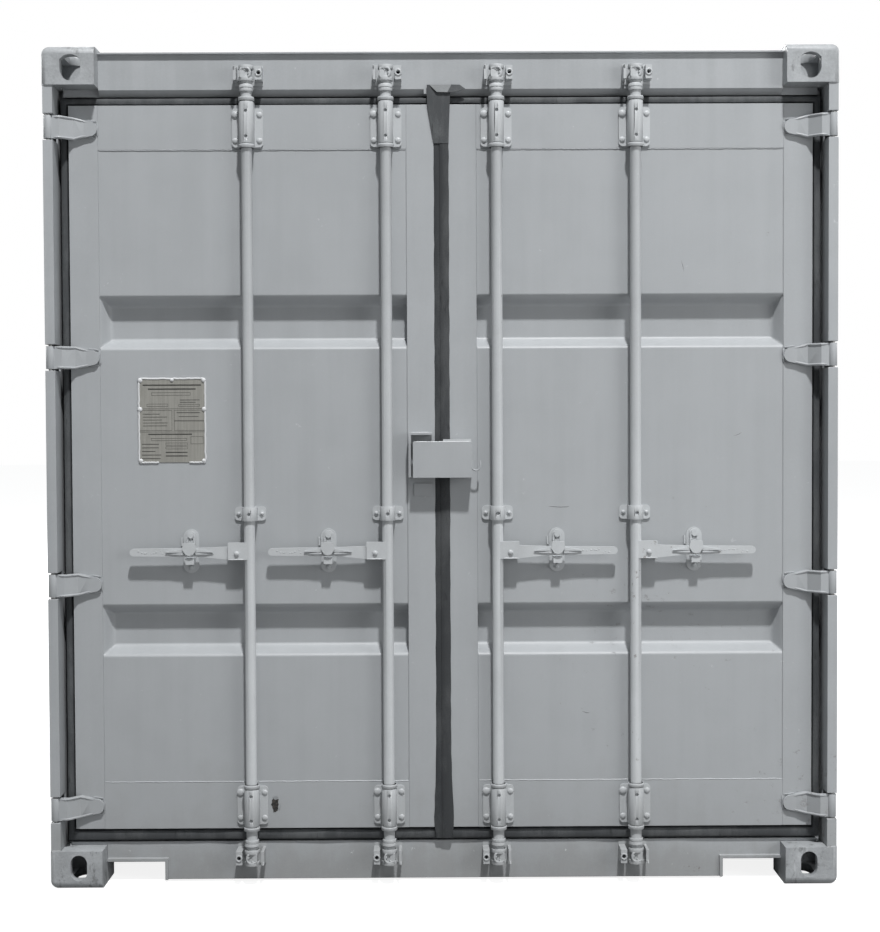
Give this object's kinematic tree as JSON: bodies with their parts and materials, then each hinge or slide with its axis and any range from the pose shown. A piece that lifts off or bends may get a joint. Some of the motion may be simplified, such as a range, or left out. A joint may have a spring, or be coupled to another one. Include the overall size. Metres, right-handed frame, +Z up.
{
  "type": "shipping container",
  "caption": "Dry freight shipping container with corrugated steel walls, fork pockets and a pair of end doors closed by lock rods, cams and handles.",
  "frame": {"origin": "middle of the footprint on the ground", "axes": "+Z up, the doors face -Y, +X to the right seen from the door end"},
  "size_m": [2.438, 6.058, 2.591],
  "materials": {
    "casting_paint": "grey paint, worn at the edges",
    "body_paint": "grey paint, satin, weathered",
    "door_paint": "grey paint, satin, light scratches",
    "gear_paint": "thick grey paint over galvanised steel",
    "seal_rubber": "black rubber, dusty",
    "plywood": "hardwood plywood",
    "vent_plastic": "painted plastic",
    "pin_steel": "steel pin",
    "data_plate_metal": "dull aluminium plate"
  },
  "bodies": {
    "box_body": {"bottom_corner_castings": "casting_paint", "top_corner_castings": "casting_paint", "right_rear_post": "body_paint", "left_rear_post": "body_paint", "front_posts": "body_paint", "door_header": "body_paint", "door_sill": "body_paint", "front_header": "body_paint", "front_sill": "body_paint", "top_side_rails": "body_paint", "bottom_side_rails": "body_paint", "cross_members": "body_paint", "fork_pockets": "body_paint", "right_side_panel": "body_paint", "left_side_panel": "body_paint", "front_panel": "body_paint", "roof_panel": "body_paint", "roof_corner_plates": "body_paint", "floor_boards": "plywood", "ventilators": "vent_plastic", "cam_keepers": "gear_paint", "hinge_pins": "pin_steel"},
    "right_door": {"right_door_stiles": "door_paint", "right_door_rails": "door_paint", "right_door_panel": "door_paint", "right_door_gasket": "seal_rubber", "right_hinge_blades": "gear_paint", "right_rod_guides": "gear_paint", "right_handle_retainers": "gear_paint", "lock_box": "door_paint"},
    "left_door": {"left_door_stiles": "door_paint", "left_door_rails": "door_paint", "left_door_panel": "door_paint", "left_door_gasket": "seal_rubber", "left_hinge_blades": "gear_paint", "left_rod_guides": "gear_paint", "left_handle_retainers": "gear_paint", "lock_bracket": "door_paint", "data_plate": "data_plate_metal"},
    "right_inner_rod": {"right_inner_lock_rod": "gear_paint"},
    "right_inner_lever": {"right_inner_handle": "gear_paint"},
    "right_inner_hasp": {"right_inner_catch": "gear_paint"},
    "right_outer_rod": {"right_outer_lock_rod": "gear_paint"},
    "right_outer_lever": {"right_outer_handle": "gear_paint"},
    "right_outer_hasp": {"right_outer_catch": "gear_paint"},
    "left_inner_rod": {"left_inner_lock_rod": "gear_paint"},
    "left_inner_lever": {"left_inner_handle": "gear_paint"},
    "left_inner_hasp": {"left_inner_catch": "gear_paint"},
    "left_outer_rod": {"left_outer_lock_rod": "gear_paint"},
    "left_outer_lever": {"left_outer_handle": "gear_paint"},
    "left_outer_hasp": {"left_outer_catch": "gear_paint"}
  },
  "joints": [
    {"name": "right_door_swing", "type": "hinge", "parent": "box_body", "child": "right_door", "pos_m": [1.203, -3.011, 1.2965], "axis": [0, 0, 1], "range_deg": [0, 265]},
    {"name": "left_door_swing", "type": "hinge", "parent": "box_body", "child": "left_door", "pos_m": [-1.203, -3.011, 1.2965], "axis": [0, 0, 1], "range_deg": [-265, 0]},
    {"name": "right_inner_rod_turn", "type": "hinge", "parent": "right_door", "child": "right_inner_rod", "pos_m": [0.17, -3.001, 1.2995], "axis": [0, 0, 1], "range_deg": [-110, 0]},
    {"name": "right_inner_handle_lift", "type": "hinge", "parent": "right_inner_rod", "child": "right_inner_lever", "pos_m": [0.209, -3.003, 1.037], "axis": [0, 1, 0], "range_deg": [-15, 0]},
    {"name": "right_inner_catch_swing", "type": "hinge", "parent": "right_door", "child": "right_inner_hasp", "pos_m": [0.355, -2.9765, 1.091], "axis": [0, 1, 0], "range_deg": [-90, 0]},
    {"name": "right_outer_rod_turn", "type": "hinge", "parent": "right_door", "child": "right_outer_rod", "pos_m": [0.597, -3.001, 1.2995], "axis": [0, 0, 1], "range_deg": [-110, 0]},
    {"name": "right_outer_handle_lift", "type": "hinge", "parent": "right_outer_rod", "child": "right_outer_lever", "pos_m": [0.636, -3.003, 1.037], "axis": [0, 1, 0], "range_deg": [-15, 0]},
    {"name": "right_outer_catch_swing", "type": "hinge", "parent": "right_door", "child": "right_outer_hasp", "pos_m": [0.782, -2.9765, 1.091], "axis": [0, 1, 0], "range_deg": [-90, 0]},
    {"name": "left_inner_rod_turn", "type": "hinge", "parent": "left_door", "child": "left_inner_rod", "pos_m": [-0.17, -3.001, 1.2995], "axis": [0, 0, -1], "range_deg": [-110, 0]},
    {"name": "left_inner_handle_lift", "type": "hinge", "parent": "left_inner_rod", "child": "left_inner_lever", "pos_m": [-0.209, -3.003, 1.037], "axis": [0, -1, 0], "range_deg": [-15, 0]},
    {"name": "left_inner_catch_swing", "type": "hinge", "parent": "left_door", "child": "left_inner_hasp", "pos_m": [-0.355, -2.9765, 1.091], "axis": [0, 1, 0], "range_deg": [-90, 0]},
    {"name": "left_outer_rod_turn", "type": "hinge", "parent": "left_door", "child": "left_outer_rod", "pos_m": [-0.597, -3.001, 1.2995], "axis": [0, 0, -1], "range_deg": [-110, 0]},
    {"name": "left_outer_handle_lift", "type": "hinge", "parent": "left_outer_rod", "child": "left_outer_lever", "pos_m": [-0.636, -3.003, 1.037], "axis": [0, -1, 0], "range_deg": [-15, 0]},
    {"name": "left_outer_catch_swing", "type": "hinge", "parent": "left_door", "child": "left_outer_hasp", "pos_m": [-0.782, -2.9765, 1.091], "axis": [0, 1, 0], "range_deg": [-90, 0]}
  ],
  "couplings": [
    {"joint": "left_door_swing", "follows": "right_door_swing", "ratio": -1}
  ]
}
